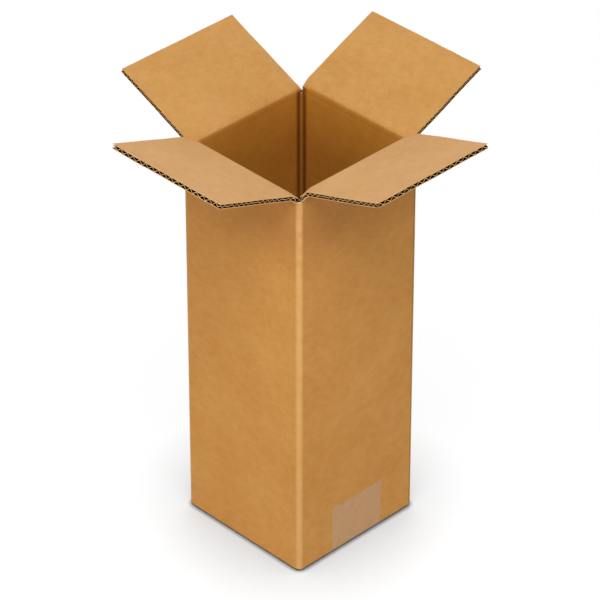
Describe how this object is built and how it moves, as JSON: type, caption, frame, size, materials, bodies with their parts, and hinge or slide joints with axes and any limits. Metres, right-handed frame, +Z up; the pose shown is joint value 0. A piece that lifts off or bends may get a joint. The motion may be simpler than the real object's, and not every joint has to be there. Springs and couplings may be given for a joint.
{
  "type": "open cardboard box",
  "caption": "Tall square corrugated shipping box standing open, with hinged top flaps, a folded base and a strip of clear tape.",
  "frame": {"origin": "middle of the base, on the plane that the box rests on", "axes": "+Z up out of the open top, front wall facing -Y, right wall with the tape end facing +X"},
  "size_m": [0.2615, 0.2609, 0.3585],
  "materials": {
    "kraft_board": "matt uncoated kraft liner",
    "clear_tape": "clear film, slightly frosted"
  },
  "bodies": {
    "box": {"box_body": "kraft_board", "bottom_tape": "clear_tape"},
    "flap_front": {"flap_front": "kraft_board"},
    "flap_back": {"flap_back": "kraft_board"},
    "flap_left": {"flap_left": "kraft_board"},
    "flap_right": {"flap_right": "kraft_board"}
  },
  "joints": [
    {"name": "flap_front_hinge", "type": "hinge", "parent": "box", "child": "flap_front", "pos_m": [0, -0.06, 0.3276], "axis": [-1, 0, 0], "range_deg": [-104.5, 160.5]},
    {"name": "flap_back_hinge", "type": "hinge", "parent": "box", "child": "flap_back", "pos_m": [0, 0.06, 0.3238], "axis": [1, 0, 0], "range_deg": [-109, 156]},
    {"name": "flap_left_hinge", "type": "hinge", "parent": "box", "child": "flap_left", "pos_m": [-0.06, 0, 0.32], "axis": [0, 1, 0], "range_deg": [-109, 156]},
    {"name": "flap_right_hinge", "type": "hinge", "parent": "box", "child": "flap_right", "pos_m": [0.06, 0, 0.3314], "axis": [0, -1, 0], "range_deg": [-103, 162]}
  ]
}
